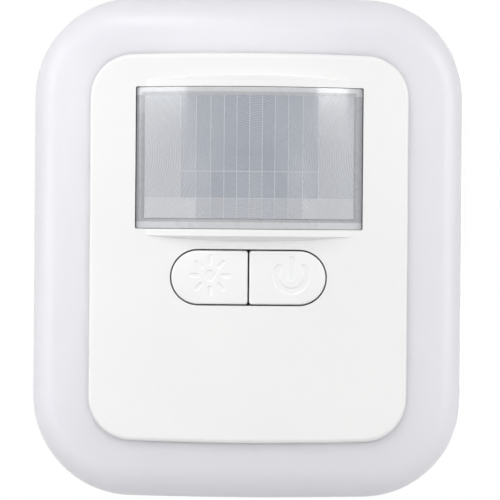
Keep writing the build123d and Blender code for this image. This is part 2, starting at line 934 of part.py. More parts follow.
def bulk_capacitor():
    """Round electrolytic capacitor lying on the board, with a groove near its lead end."""
    axis = power_face + part_stand + can_radius
    end = can_side + can_length / 2
    can = lying(can_side, can_rise, can_radius, can_length, axis)
    groove = lying(end - can_groove_inset, can_rise, can_radius, 2 * can_groove, axis)
    groove -= lying(end - can_groove_inset, can_rise, can_radius - can_groove, 2 * can_groove, axis)
    can -= groove
    for x, z in can_leads():
        can += lying((end + x) / 2, z, lead_radius, x - end, axis)
        can += Pos(x, -axis, z) * Sphere(lead_radius)
    return can + leads(can_leads(), axis)


def fuse_resistor():
    """Fusible resistor with capped ends, lying between its leads."""
    axis = power_face + part_stand + fuse_cap_radius
    resistor = lying(0, fuse_rise, fuse_radius, fuse_length, axis)
    for side, (x, z) in zip((-1, 1), fuse_leads()):
        end = side * fuse_length / 2
        resistor += lying(end - side * fuse_cap / 2, z, fuse_cap_radius, fuse_cap, axis)
        resistor += lying((end + x) / 2, z, lead_radius, abs(x - end), axis)
        resistor += Pos(x, -axis, z) * Sphere(lead_radius)
    return resistor + leads(fuse_leads(), axis)


def varistor():
    """Coated disc that stands on its two leads."""
    axis = power_face + part_stand + disc_radius
    disc = Pos(disc_side, -axis, disc_rise) * Cylinder(disc_radius, disc_thickness)
    disc = fillet(disc.edges().filter_by(GeomType.CIRCLE), disc_rounding)
    return disc + leads(disc_leads(), axis)


def bridge_rectifier():
    """Four-legged rectifier package."""
    low = power_face + chip_stand
    body = slab(Pos(bridge_side, bridge_rise) * Rectangle(bridge_length, bridge_width), low, low + bridge_height)
    body = chamfer(front_face(body).edges(), chip_bevel)
    places = [
        (bridge_side + side * bridge_leg_pitch / 2, bridge_rise + up * bridge_width / 2, up)
        for side in (-1, 1)
        for up in (-1, 1)
    ]
    return body + bent_legs(places, bridge_leg_width, power_face, low + bridge_height / 2)


def link_pins():
    """Square pins that join the two boards."""
    pins = [
        slab(Pos(x, z) * Rectangle(link_pin, link_pin), power_depth - link_tail, control_face + link_tail)
        for x, z in link_places()
    ]
    return Compound(children=pins)


def link_header():
    """Plastic strip that carries the pins on the power board."""
    strip = Pos(0, link_rise) * Rectangle(link_count * link_pitch, link_body)
    for x, z in link_places():
        strip -= Pos(x, z) * Rectangle(link_pin, link_pin)
    return slab(strip, power_face, power_face + link_body)


# ---- screws


def cross_recess(x, z, near, far):
    """Cross-shaped recess of a screw head."""
    cross = Rectangle(recess_width, recess_length) + Rectangle(recess_length, recess_width)
    return slab(Pos(x, z) * cross, near, far)


def cover_screws():
    """Four screws from the wells of the rear cover into the bosses of the front cover."""
    top = screw_seat_depth - screw_head
    screws = []
    for x, z in screw_places:
        head = rod(x, z, screw_head_radius, top, screw_seat_depth)
        head = fillet(head.faces().sort_by(Axis.Y)[-1].edges(), screw_head / 2)
        screw = head + rod(x, z, screw_radius, screw_seat_depth, screw_seat_depth + screw_length)
        screws.append(screw - cross_recess(x, z, top, top + recess_depth))
    return Compound(children=screws)


def board_screws():
    """Two short screws that hold the power board on its standoffs."""
    top = power_face + board_screw_head
    screws = []
    for x, z in board_screw_places():
        head = rod(x, z, board_screw_head_radius, power_face, top)
        head = fillet(front_face(head).edges(), board_screw_head / 2)
        screw = head + rod(x, z, board_screw_radius, power_face - board_screw_length, power_face)
        screws.append(screw - cross_recess(x, z, top - recess_depth, top))
    return Compound(children=screws)


# ---- plug


def plug_blade(side):
    """Flat brass blade with a hole, a shoulder inside the rear cover and a tail through the power board."""
    blade = Pos(blade_length / 2 - rear_floor / 2, 0) * Rectangle(blade_length + rear_floor, blade_width)
    tip = blade.vertices().group_by(Axis.X)[-1]
    blade = chamfer(tip, blade_tip)
    shoulder_far = -power_depth
    blade += Pos((shoulder_far - rear_floor) / 2, 0) * Rectangle(power_depth - rear_floor, shoulder_width)
    tail_end = -(power_face + tail_reach)
    blade += Pos((tail_end + shoulder_far) / 2, 0) * Rectangle(shoulder_far - tail_end, tail_width)
    blade -= Pos(blade_hole_reach, 0) * Circle(blade_hole_radius)
    solid = extrude(Plane.YZ * blade, amount=blade_thickness / 2, both=True)
    solid = chamfer(solid.edges().group_by(Axis.Y)[-1].filter_by(Axis.Z), blade_bevel)
    return Pos(side * blade_spacing / 2, 0, 0) * solid


# ---- rear cover


def rear_form(inset):
    """The tray's drafted outer form."""
    return drafted(rear_inset + inset, rear_depth, 0, rear_draft)


def rear_cover():
    """White tray with the wall face, screw wells, standoffs and a lip for the ring."""
    tray = fillet(rear_form(0).faces().sort_by(Axis.Y)[-1].edges(), rear_rounding)
    tray -= rear_form(rear_wall) & slab(body_outline(0), rear_floor, rear_depth)
    lip_inset = ring_wall + rear_lip_gap
    lip = slab(body_outline(lip_inset), rear_depth - rear_wall, rear_depth + rear_lip)
    lip -= slab(body_outline(lip_inset + rear_lip_wall), 0, front_reach)
    tray += lip
    for x, z in screw_places:
        tray += rod(x, z, well_radius, rear_floor / 2, control_depth)
    for x, z in board_screw_places():
        tray += rod(x, z, standoff_radius, rear_floor / 2, power_depth)
    for side in (-1, 1):
        tray += rod(side * screw_side, support_height, support_radius, rear_floor / 2, control_depth)
    for x, z in screw_places:
        tray -= rod(x, z, screw_head_radius + well_gap, 0, screw_seat_depth)
        tray -= rod(x, z, screw_radius + hole_fit, 0, control_depth)
    for x, z in board_screw_places():
        tray -= rod(x, z, board_screw_radius + screw_fit, rear_floor / 2, power_depth)
    for side in (-1, 1):
        slot = Rectangle(blade_thickness + 2 * blade_fit, blade_width + 2 * blade_fit)
        tray -= slab(Pos(side * blade_spacing / 2, 0) * slot, 0, rear_floor)
    return tray


# ---- assembly

os.makedirs("parts", exist_ok=True)
sides = {"brightness": -1, "power": 1}
save("front_cover", front_cover())
save("diffuser", diffuser())
save("pir_lens", pir_lens())
save("rear_cover", rear_cover())
save("control_board", control_board())
save("power_board", power_board())
for name, side in sides.items():
    save(name + "_button", button(side))
    save(name + "_switch_base", switch_base(side))
    save(name + "_switch_dome", switch_dome(side))
    save(name + "_switch_plunger", switch_plunger(side))
    save(name + "_switch_cover", switch_cover(side))
save("switch_terminals", switch_terminals())
save("led_packages", led_packages())
save("led_phosphors", led_phosphors())
save("pir_sensor_can", pir_sensor_can())
save("pir_sensor_window", pir_sensor_window())
save("pir_sensor_header", pir_sensor_header())
save("pir_sensor_leads", pir_sensor_leads())
save("light_sensor", light_sensor())
save("controller_chip", controller_chip())
save("voltage_regulator", voltage_regulator())
save("chip_resistors", chip_resistors())
save("film_capacitor", film_capacitor())
save("bulk_capacitor", bulk_capacitor())
save("fuse_resistor", fuse_resistor())
save("varistor", varistor())
save("bridge_rectifier", bridge_rectifier())
save("link_pins", link_pins())
save("link_header", link_header())
save("cover_screws", cover_screws())
save("board_screws", board_screws())
save("plug_blade_left", plug_blade(-1))
save("plug_blade_right", plug_blade(1))
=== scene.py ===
import math
import random

import bmesh
import bpy
from mathutils import Matrix, Vector


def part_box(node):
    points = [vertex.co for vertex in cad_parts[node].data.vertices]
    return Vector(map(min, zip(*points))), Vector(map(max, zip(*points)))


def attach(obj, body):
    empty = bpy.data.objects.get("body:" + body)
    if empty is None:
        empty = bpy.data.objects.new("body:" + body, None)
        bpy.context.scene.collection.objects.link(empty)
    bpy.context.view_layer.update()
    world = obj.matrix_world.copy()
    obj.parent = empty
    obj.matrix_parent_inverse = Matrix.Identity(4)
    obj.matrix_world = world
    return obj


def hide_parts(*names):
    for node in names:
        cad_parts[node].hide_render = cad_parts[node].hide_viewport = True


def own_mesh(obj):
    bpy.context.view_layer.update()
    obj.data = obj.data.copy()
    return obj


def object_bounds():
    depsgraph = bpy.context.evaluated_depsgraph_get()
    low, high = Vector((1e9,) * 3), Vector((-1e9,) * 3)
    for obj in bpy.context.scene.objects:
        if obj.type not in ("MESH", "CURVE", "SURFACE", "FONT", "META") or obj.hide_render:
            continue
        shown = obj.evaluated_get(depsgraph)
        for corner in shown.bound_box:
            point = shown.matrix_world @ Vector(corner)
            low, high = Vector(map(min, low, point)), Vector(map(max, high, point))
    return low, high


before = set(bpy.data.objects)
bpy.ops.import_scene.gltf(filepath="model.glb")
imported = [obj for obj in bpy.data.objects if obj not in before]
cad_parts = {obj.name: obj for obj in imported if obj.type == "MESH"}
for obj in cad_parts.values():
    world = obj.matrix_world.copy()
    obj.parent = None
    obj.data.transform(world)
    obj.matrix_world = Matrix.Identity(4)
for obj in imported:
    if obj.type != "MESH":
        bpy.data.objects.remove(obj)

# Looks of a plug-in night light: lights, camera, materials, the fine rings of its Fresnel lens, the
# sunk signs of its buttons and copies of its snap domes. Metres, +Z up, the wall is y = 0 and the
# front faces -Y.

cad_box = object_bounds()
MM = 0.001

# ---- sizes of the moulded front, as in the part
CROWN_RADIUS = 100 * MM
BROW_RADIUS = 38 * MM
LENS_SET_BACK = 0.1 * MM
FIELD_STEP = 0.35 * MM
FIELD_SLOPE = 0.5 * MM
LENS_BORDER = 1.25 * MM
LENS_LOW_BORDER = 1.55 * MM
LENS_FLANGE = 1.5 * MM
LENS_EAR = 1.6 * MM

# ---- zones of the lens
MIDDLE_TIER = 4.2 * MM
LOW_TIER = 3.2 * MM
COLUMN_WIDTHS = [2.47 * MM, 2.27 * MM, 2.09 * MM, 1.98 * MM, 1.97 * MM]
ZONE_RIB = 0.11 * MM
RIB_HEIGHT = 0.15 * MM
RIB_STEP = 1.0 * MM
AIM_SPREAD = 2.0            # the middle of a zone's rings lies this many times as far out as the zone
RING_RISE = 0.8 * MM
RING_PITCH = 0.38 * MM
RING_RISER = 0.3            # share of the pitch
RING_HOLE = 0.02            # share of the pitch that stays open in the middle
RING_DEPTH = 0.02 * MM      # in the middle of the lens
RING_DEPTH_GAIN = 0.045 * MM
RING_SEGMENT = 0.45 * MM
RING_MIN_STEPS = 8
TILE_THICKNESS = 0.1 * MM
TILE_LIFT = 0.01 * MM
# painted light: how much paler the wings and the lowest tier of the lens are painted
SIDE_PAINTED_LIGHT = 0.85
LOW_PAINTED_LIGHT = 0.40
TONE_SPREAD = 0.15
TONE_SEED = 7
SKIN_ROUGHNESS = 0.1

# ---- smallest turns that count as an edge, in degrees, and distances within which points are welded
RING_EDGE = 14
CAP_EDGE = 20
RIB_EDGE = 30
RING_WELD = 0.001 * MM
CAP_WELD = 0.0005 * MM

# ---- diffuser
RING_LEAN = 0.2             # tangent of the angle by which the shading of its face leans outward
RING_SCATTER = 3.5 * MM

# ---- noise in the materials: features per metre, how far the roughness wanders, and depth of grain
TONE_NOISE = 45
GLOSS_NOISE = 500
GLOSS_WANDER = 0.05
MOULD_GRAIN = 3200
MOULD_GRAIN_DEPTH = 0.006 * MM
EDGE_GRAIN = 900
EDGE_GRAIN_DEPTH = 0.002 * MM
RING_GRAIN = 1800
RING_GRAIN_DEPTH = 0.004 * MM
ZONE_GLOSS_NOISE = 700
ZONE_GLOSS_WANDER = 0.03
METAL_TONE_NOISE = 160
METAL_DIMMING = 0.86        # share of the colour that the darker tone keeps
METAL_GLOSS_NOISE = 400
METAL_GLOSS_WANDER = 0.08
METAL_GRAIN = 900
METAL_GRAIN_DEPTH = 0.004 * MM
FLOOR_NOISE = 6
NOISE_MIDDLE = (0.3, 0.7)   # the range that most of the noise's values lie in

# ---- signs of the buttons
SUN_SIDE = -6.0 * MM
POWER_SIDE = 6.7 * MM
SIGN_RISE = 0.27 * MM
SIGN_DEPTH = 0.13 * MM
SIGN_SLOPE = 0.22 * MM
SIGN_CLEAR = 0.1 * MM
SUN_RADIUS = 0.95 * MM
RAY_COUNT = 8
RAY_INNER = 1.95 * MM
RAY_OUTER = 2.9 * MM
RAY_HALF_WIDTH = 0.4 * MM
POWER_RADIUS = 2.35 * MM
POWER_HALF_WIDTH = 0.6 * MM
POWER_OPENING = math.radians(112)
POWER_BAR_TOP = 2.55 * MM
POWER_BAR_BOTTOM = 0.3 * MM
ARC_STEPS = 40
CAP_STEPS = 10

front_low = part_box("front_cover")[0]
lens_low, lens_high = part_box("pir_lens")
cap_low, cap_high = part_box("brightness_button")
body_low, body_high = cad_box
body_middle = (body_low.z + body_high.z) / 2
lens_middle = (lens_low.z + lens_high.z) / 2
pill_middle = (cap_low.z + cap_high.z) / 2
brow_axis = front_low.y + BROW_RADIUS
field_radius = BROW_RADIUS - LENS_SET_BACK - FIELD_STEP
cap_axis = cap_low.y + CROWN_RADIUS
field_width = lens_high.x - lens_low.x - 2 * (LENS_FLANGE + LENS_EAR + LENS_BORDER)
field_low = lens_low.z + LENS_FLANGE + LENS_LOW_BORDER - lens_middle
field_height = lens_high.z - LENS_FLANGE - LENS_BORDER - lens_middle - field_low


# ---- helpers for meshes


def new_piece(name, vertices, faces):
    """A mesh object from lists."""
    mesh = bpy.data.meshes.new(name)
    mesh.from_pydata(vertices, [], faces)
    mesh.update()
    piece = bpy.data.objects.new(name, mesh)
    bpy.context.scene.collection.objects.link(piece)
    return piece


def smooth(mesh, angle):
    """Smooth faces with sharp edges where they turn by more than the angle, in degrees."""
    bm = bmesh.new()
    bm.from_mesh(mesh)
    for face in bm.faces:
        face.smooth = True
    for edge in bm.edges:
        edge.smooth = len(edge.link_faces) == 2 and edge.calc_face_angle(math.pi) < math.radians(angle)
    bm.to_mesh(mesh)
    bm.free()


def finish_piece(piece, body, material):
    """Give a piece its body and its material."""
    piece.data.materials.clear()
    piece.data.materials.append(material)
    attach(piece, body)


# ---- materials


class Shader:
    """A principled material with its node tree, so that detail can be added to it."""

    def __init__(self, name, color, roughness, **values):
        self.material = bpy.data.materials.new(name)
        self.material.use_nodes = True
        self.tree = self.material.node_tree
        self.bsdf = self.tree.nodes["Principled BSDF"]
        self.color = color
        self.roughness = roughness
        self.bsdf.inputs["Base Color"].default_value = (*color, 1)
        self.bsdf.inputs["Roughness"].default_value = roughness
        for socket, value in values.items():
            self.bsdf.inputs[socket.replace("_", " ")].default_value = value
        coordinates = self.node("ShaderNodeTexCoord")
        self.place = coordinates.outputs["Object"]
        self.facing = coordinates.outputs["Normal"]

    def node(self, kind, **settings):
        """A new node with its settings."""
        node = self.tree.nodes.new(kind)
        for key, value in settings.items():
            setattr(node, key, value)
        return node

    def link(self, source, target):
        """A link from one socket to another."""
        self.tree.links.new(source, target)

    def stretched(self, stretch):
        """Object coordinates stretched along the axes."""
        mapping = self.node("ShaderNodeMapping")
        mapping.inputs["Scale"].default_value = stretch
        self.link(self.place, mapping.inputs["Vector"])
        return mapping.outputs["Vector"]

    def noise(self, scale, detail=2.0, stretch=None):
        """Noise with scale features to the metre."""
        noise = self.node("ShaderNodeTexNoise")
        noise.inputs["Scale"].default_value = scale
        noise.inputs["Detail"].default_value = detail
        self.link(self.stretched(stretch) if stretch else self.place, noise.inputs["Vector"])
        return noise.outputs["Fac"]

    def mapped(self, value, source, target, **settings):
        """The value, with the source's range turned into the target's."""
        spread = self.node("ShaderNodeMapRange", **settings)
        for socket, number in zip(("From Min", "From Max", "To Min", "To Max"), source + target):
            spread.inputs[socket].default_value = number
        self.link(value, spread.inputs["Value"])
        return spread.outputs["Result"]

    def ranged(self, value, low, high):
        """Noise spread from low to high."""
        return self.mapped(value, NOISE_MIDDLE, (low, high))

    def vary_color(self, value, other):
        """Blend towards another colour where the value is high."""
        mix = self.node("ShaderNodeMix", data_type="RGBA")
        mix.inputs["A"].default_value = (*self.color, 1)
        mix.inputs["B"].default_value = (*other, 1)
        self.link(value, mix.inputs["Factor"])
        self.link(mix.outputs["Result"], self.bsdf.inputs["Base Color"])

    def vary_roughness(self, value, spread):
        """Roughness that wanders by the spread about its middle."""
        varied = self.ranged(value, self.roughness - spread, self.roughness + spread)
        self.link(varied, self.bsdf.inputs["Roughness"])

    def wander(self, other):
        """A slow wander of tone towards another colour, and an uneven gloss."""
        self.vary_color(self.ranged(self.noise(TONE_NOISE, 3), 0, 1), other)
        self.vary_roughness(self.noise(GLOSS_NOISE, 3), GLOSS_WANDER)

    def bump(self, value, depth):
        """Fine relief of a depth in metres."""
        bump = self.node("ShaderNodeBump")
        bump.inputs["Distance"].default_value = depth
        self.link(value, bump.inputs["Height"])
        self.link(bump.outputs["Normal"], self.bsdf.inputs["Normal"])
        return bump

    def vectors(self, value, *steps):
        """A vector put through one operation after another, each with its operand."""
        for operation, operand in steps:
            node = self.node("ShaderNodeVectorMath", operation=operation)
            self.link(value, node.inputs[0])
            if isinstance(operand, tuple):
                node.inputs[1].default_value = operand
            elif operand is not None:
                self.link(operand, node.inputs[1])
            value = node.outputs["Vector"]
        return value


def add_lens_skin(plastic):
    """Clear skin over the lens, smooth and round about the lens's upright axis."""
    round_face = plastic.vectors(
        plastic.place, ("SUBTRACT", (0, brow_axis, 0)), ("MULTIPLY", (1, 1, 0)), ("NORMALIZE", None),
    )
    plastic.link(round_face, plastic.bsdf.inputs["Coat Normal"])
    plastic.bsdf.inputs["Coat Weight"].default_value = 1.0
    plastic.bsdf.inputs["Coat Roughness"].default_value = SKIN_ROUGHNESS


def edge_material():
    """The lens's smooth border: paler above and below the field than beside it, which is painted light.
    """
    plastic = Shader("lens_plastic", (0.375, 0.385, 0.405), 0.28)
    height = plastic.node("ShaderNodeSeparateXYZ")
    plastic.link(plastic.place, height.inputs[0])
    beside = plastic.node("ShaderNodeMath", operation="COMPARE")
    beside.inputs[1].default_value = lens_middle + field_low + (field_height - FIELD_SLOPE) / 2
    beside.inputs[2].default_value = (field_height + FIELD_SLOPE) / 2
    plastic.link(height.outputs["Z"], beside.inputs[0])
    # painted light: the border is painted paler above and below the field than beside it
    painted_light_band = plastic.mapped(beside.outputs["Value"], (0, 1), (1, 0))
    plastic.vary_color(painted_light_band, (0.55, 0.56, 0.58))
    plastic.vary_roughness(plastic.noise(GLOSS_NOISE, 3), GLOSS_WANDER)
    plastic.bump(plastic.noise(EDGE_GRAIN, 3), EDGE_GRAIN_DEPTH)
    add_lens_skin(plastic)
    return plastic.material


def ring_material():
    """Milky plastic of the diffuser: its face is shaded as if it leaned a little outward all round."""
    plastic = Shader(
        "frosted_plastic", (0.83, 0.825, 0.895), 0.36,
        Subsurface_Weight=1.0, Subsurface_Radius=(1.0, 1.0, 1.0), Subsurface_Scale=RING_SCATTER,
    )
    plastic.wander((0.82, 0.815, 0.885))
    half = (body_high - body_low) / 2
    share = plastic.vectors(
        plastic.place, ("SUBTRACT", (0, 0, body_middle)), ("MULTIPLY", (1 / half.x, 0, 1 / half.z)),
    )
    square = plastic.vectors(share, ("MULTIPLY", share))
    outward = plastic.vectors(share, ("MULTIPLY", square), ("MULTIPLY", square), ("NORMALIZE", None))
    leaning = plastic.vectors(
        outward, ("MULTIPLY", (RING_LEAN, 0, RING_LEAN)), ("ADD", plastic.facing), ("NORMALIZE", None),
    )
    grain = plastic.bump(plastic.noise(RING_GRAIN, 3), RING_GRAIN_DEPTH)
    plastic.link(leaning, grain.inputs["Normal"])
    return plastic.material


def moulded(name, color, other, roughness, grain=MOULD_GRAIN, depth=MOULD_GRAIN_DEPTH, **values):
    """Moulded plastic: a fine spark-eroded grain, a slow wander of tone and an uneven gloss."""
    plastic = Shader(name, color, roughness, **values)
    plastic.wander(other)
    plastic.bump(plastic.noise(grain, 3), depth)
    return plastic.material


def metal(name, color, roughness, stretch):
    """Metal with fine drawn lines."""
    sheet = Shader(name, color, roughness, Metallic=1.0)
    sheet.vary_roughness(sheet.noise(METAL_GLOSS_NOISE, 4, stretch), METAL_GLOSS_WANDER)
    dimmed = tuple(METAL_DIMMING * part for part in color)
    sheet.vary_color(sheet.ranged(sheet.noise(METAL_TONE_NOISE, 3), 0, 1), dimmed)
    sheet.bump(sheet.noise(METAL_GRAIN, 4, stretch), METAL_GRAIN_DEPTH)
    return sheet.material


MATERIALS = {
    "white_plastic": moulded("white_plastic", (0.88, 0.88, 0.875), (0.86, 0.86, 0.86), 0.42),
    "button_plastic": moulded("button_plastic", (0.90, 0.90, 0.90), (0.88, 0.88, 0.885), 0.38),
    "frosted_plastic": ring_material(),
    "lens_plastic": edge_material(),
    "rib_plastic": moulded("rib_plastic", (0.565, 0.58, 0.615), (0.535, 0.55, 0.59), 0.24),
    "plated_brass": metal("plated_brass", (0.72, 0.70, 0.66), 0.26, (1, 0.08, 1)),
    "zinc_steel": metal("zinc_steel", (0.60, 0.61, 0.62), 0.34, (1, 1, 1)),
    "spring_steel": metal("spring_steel", (0.62, 0.60, 0.57), 0.28, (1, 1, 1)),
    "nickel_steel": metal("nickel_steel", (0.66, 0.65, 0.62), 0.25, (1, 1, 0.1)),
    "tinned_wire": metal("tinned_wire", (0.70, 0.70, 0.69), 0.3, (1, 0.1, 1)),
    "board_laminate": moulded("board_laminate", (0.74, 0.75, 0.73), (0.70, 0.71, 0.69), 0.3, grain=1500),
    "led_plastic": moulded("led_plastic", (0.84, 0.84, 0.82), (0.80, 0.80, 0.78), 0.4),
    "phosphor": moulded("phosphor", (0.82, 0.66, 0.16), (0.78, 0.60, 0.12), 0.35, grain=5000),
    "filter_pane": moulded("filter_pane", (0.03, 0.032, 0.035), (0.05, 0.045, 0.05), 0.12),
    "clear_epoxy": moulded(
        "clear_epoxy", (0.90, 0.92, 0.94), (0.86, 0.90, 0.93), 0.1, Transmission_Weight=0.85, IOR=1.5,
    ),
    "black_plastic": moulded("black_plastic", (0.022, 0.022, 0.024), (0.032, 0.032, 0.033), 0.5),
    "chip_ceramic": moulded("chip_ceramic", (0.05, 0.05, 0.055), (0.09, 0.09, 0.09), 0.45),
    "film_box": moulded("film_box", (0.42, 0.04, 0.03), (0.36, 0.03, 0.025), 0.4),
    "capacitor_sleeve": moulded("capacitor_sleeve", (0.03, 0.035, 0.05), (0.02, 0.022, 0.035), 0.3),
    "resistor_coat": moulded("resistor_coat", (0.20, 0.36, 0.30), (0.17, 0.31, 0.26), 0.45),
    "varistor_coat": moulded("varistor_coat", (0.05, 0.13, 0.42), (0.04, 0.11, 0.36), 0.4),
}


def dress_nodes():
    """Give every node of the part the finish of its own slot."""
    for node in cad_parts.values():
        for slot in node.material_slots:
            slot.material = MATERIALS[slot.material.name.split(".")[0]]


# ---- Fresnel lens


def lens_point(x, z, height):
    """Point over the floor of the lens field, which is part of an upright cylinder."""
    radius = field_radius + height
    return (x, brow_axis - math.sqrt(radius**2 - x**2), lens_middle + z)


def tier(columns, bottom, height):
    """Left, bottom, width and height of each zone in one tier."""
    left = -sum(columns) / 2
    zones = []
    for width in columns:
        zones.append((left, bottom, width, height))
        left += width
    return zones


def lens_zones():
    """Wings through two tiers, columns in each, and a lowest tier whose outer zones are wide."""
    middle = COLUMN_WIDTHS + COLUMN_WIDTHS[::-1]
    wing = (field_width - sum(middle)) / 2
    columns = [wing] + middle + [wing]
    bottom = field_low
    high_tier = field_height - MIDDLE_TIER - LOW_TIER
    wings = tier(columns, bottom + LOW_TIER, MIDDLE_TIER + high_tier)
    upper = tier(columns, bottom + LOW_TIER + MIDDLE_TIER, high_tier)
    centre = tier(columns, bottom + LOW_TIER, MIDDLE_TIER)
    wide = wing + middle[0]
    lowest = tier([wide] + middle[1:-1] + [wide], bottom, LOW_TIER)
    return [wings[0], wings[-1]] + upper[1:-1] + centre[1:-1] + lowest


def ring_sheet(left, bottom, width, height):
    """Flat mesh of saw-tooth rings about a middle further out than the zone's, clipped to the zone."""
    middle = Vector((left + width / 2, bottom + height / 2))
    aim = Vector((middle.x * AIM_SPREAD, RING_RISE))
    corners = [Vector((left + x * width, bottom + z * height)) - aim for x in (0, 1) for z in (0, 1)]
    reach = max(corner.length for corner in corners)
    toward = middle - aim
    inside = abs(toward.x) < width / 2 and abs(toward.y) < height / 2
    spread = math.pi if inside else max(abs(toward.angle(corner)) for corner in corners)
    heading = math.atan2(toward.y, toward.x)
    steps = max(RING_MIN_STEPS, math.ceil(2 * spread * reach / RING_SEGMENT))
    depth = RING_DEPTH + RING_DEPTH_GAIN * abs(middle.x) / (field_width / 2)
    profile = []
    for ring in range(math.ceil(reach / RING_PITCH) + 1):
        profile += [(ring, 0.0), (ring + 1 - RING_RISER, depth)]
    bm = bmesh.new()
    rows = []
    for share, lift in profile:
        radius = max(share, RING_HOLE) * RING_PITCH
        row = []
        for step in range(steps + 1):
            turn = heading + spread * (2 * step / steps - 1)
            x = aim.x + radius * math.cos(turn)
            z = aim.y + radius * math.sin(turn)
            row.append(bm.verts.new((x, lift, z)))
        rows.append(row)
    for inner, outer in zip(rows, rows[1:]):
        for step in range(steps):
            bm.faces.new((outer[step], outer[step + 1], inner[step + 1], inner[step]))
    inset = ZONE_RIB / 2
    sides = [
        ((left + inset, 0, 0), (-1, 0, 0)), ((left + width - inset, 0, 0), (1, 0, 0)),
        ((0, 0, bottom + inset), (0, 0, -1)), ((0, 0, bottom + height - inset), (0, 0, 1)),
    ]
    bmesh.ops.remove_doubles(bm, verts=bm.verts, dist=RING_WELD)
    for point, normal in sides:
        everything = bm.verts[:] + bm.edges[:] + bm.faces[:]
        bmesh.ops.bisect_plane(bm, geom=everything, plane_co=point, plane_no=normal, clear_outer=True)
    return bm


def add_tile(zone, vertices, faces):
    """Append one zone as a closed tile: the rings in front, the same outline flat behind."""
    bm = ring_sheet(*zone)
    bm.verts.index_update()
    first = len(vertices)
    count = len(bm.verts)
    for lift in (None, -TILE_THICKNESS):
        for vertex in bm.verts:
            height = vertex.co.y if lift is None else lift
            vertices.append(lens_point(vertex.co.x, vertex.co.z, TILE_LIFT + TILE_THICKNESS + height))
    for face in bm.faces:
        ring = [first + vertex.index for vertex in face.verts]
        faces.append(ring)
        faces.append([count + index for index in reversed(ring)])
        for loop in face.loops:
            if loop.edge.is_boundary:
                a = first + loop.vert.index
                b = first + loop.link_loop_next.vert.index
                faces.append([b, a, a + count, b + count])
    bm.free()


def add_rib(left, right, bottom, top, vertices, faces):
    """Append a closed strip that follows the curve of the field."""
    steps = max(1, math.ceil((right - left) / RIB_STEP))
    first = len(vertices)
    for step in range(steps + 1):
        x = left + (right - left) * step / steps
        for z, height in ((bottom, 0), (top, 0), (top, RIB_HEIGHT), (bottom, RIB_HEIGHT)):
            vertices.append(lens_point(x, z, TILE_LIFT + height))
    for step in range(steps):
        here = first + 4 * step
        for side in range(4):
            after = (side + 1) % 4
            faces.append([here + side, here + after, here + 4 + after, here + 4 + side])
    last = first + 4 * steps
    faces.append([first + 3, first + 2, first + 1, first])
    faces.append([last, last + 1, last + 2, last + 3])


def zone_ribs(material):
    """Narrow lands: one on the left of each zone, one under it, and one along the top."""
    vertices = []
    faces = []
    half = ZONE_RIB / 2
    side = field_width / 2
    top = field_low + field_height
    for left, bottom, width, height in lens_zones():
        if left > half - side:
            add_rib(left - half, left + half, bottom + half, bottom + height - half, vertices, faces)
        if bottom > field_low + half:
            add_rib(left - half, left + width - half, bottom - half, bottom + half, vertices, faces)
    add_rib(-side, side, top - half, top, vertices, faces)
    piece = new_piece("zone_ribs", vertices, faces)
    smooth(piece.data, RIB_EDGE)
    finish_piece(piece, "housing", material)


def zone_tone_and_painted_light(zone, dice):
    """How pale a zone looks: the wings and the lowest tier are painted paler than the middle as painted
    light, and each zone adds a random tone.
    """
    left, bottom, width, height = zone
    aside = abs(left + width / 2) / (field_width / 2)
    low = bottom < field_low + LOW_TIER / 2
    tone_and_painted_light = SIDE_PAINTED_LIGHT * aside**2 + (LOW_PAINTED_LIGHT if low else 0)
    return min(1, tone_and_painted_light + TONE_SPREAD * dice.random())


def fresnel_rings(material):
    """Fine rings of all zones, as one piece on the floor of the lens field."""
    vertices = []
    faces = []
    tones_and_painted_light = []
    dice = random.Random(TONE_SEED)
    for zone in lens_zones():
        before = len(faces)
        add_tile(zone, vertices, faces)
        tones_and_painted_light += [zone_tone_and_painted_light(zone, dice)] * (len(faces) - before)
    piece = new_piece("fresnel_rings", vertices, faces)
    # per-face tone: painted light on the wings and the lowest tier, and a random tone
    tone_and_painted_light = piece.data.attributes.new("tone_and_painted_light", "FLOAT", "FACE")
    tone_and_painted_light.data.foreach_set("value", tones_and_painted_light)
    smooth(piece.data, RING_EDGE)
    finish_piece(piece, "housing", material)


def zone_material():
    """Bluish grey plastic: its grey is painted shade of the dark inside seen through it, its wings and
    lowest tier are painted paler as light, and its tone differs a little at random from zone to zone.
    """
    # painted shade: the dark base colour stands for the dark inside seen through the lens
    plastic = Shader("lens_zones", (0.295, 0.32, 0.37), 0.3)
    tone_and_painted_light = plastic.node("ShaderNodeAttribute", attribute_name="tone_and_painted_light")
    # the paler colour carries the painted light of the wings and the lowest tier, and the random tone
    plastic.vary_color(tone_and_painted_light.outputs["Fac"], (0.50, 0.505, 0.53))
    plastic.vary_roughness(plastic.noise(ZONE_GLOSS_NOISE, 2), ZONE_GLOSS_WANDER)
    add_lens_skin(plastic)
    return plastic.material


# ---- sunk signs of the buttons


def around(centre, radius, start, end, steps):
    """Points of an arc."""
    turns = [start + (end - start) * step / steps for step in range(steps + 1)]
    return [Vector((centre.x + radius * math.cos(t), centre.y + radius * math.sin(t))) for t in turns]


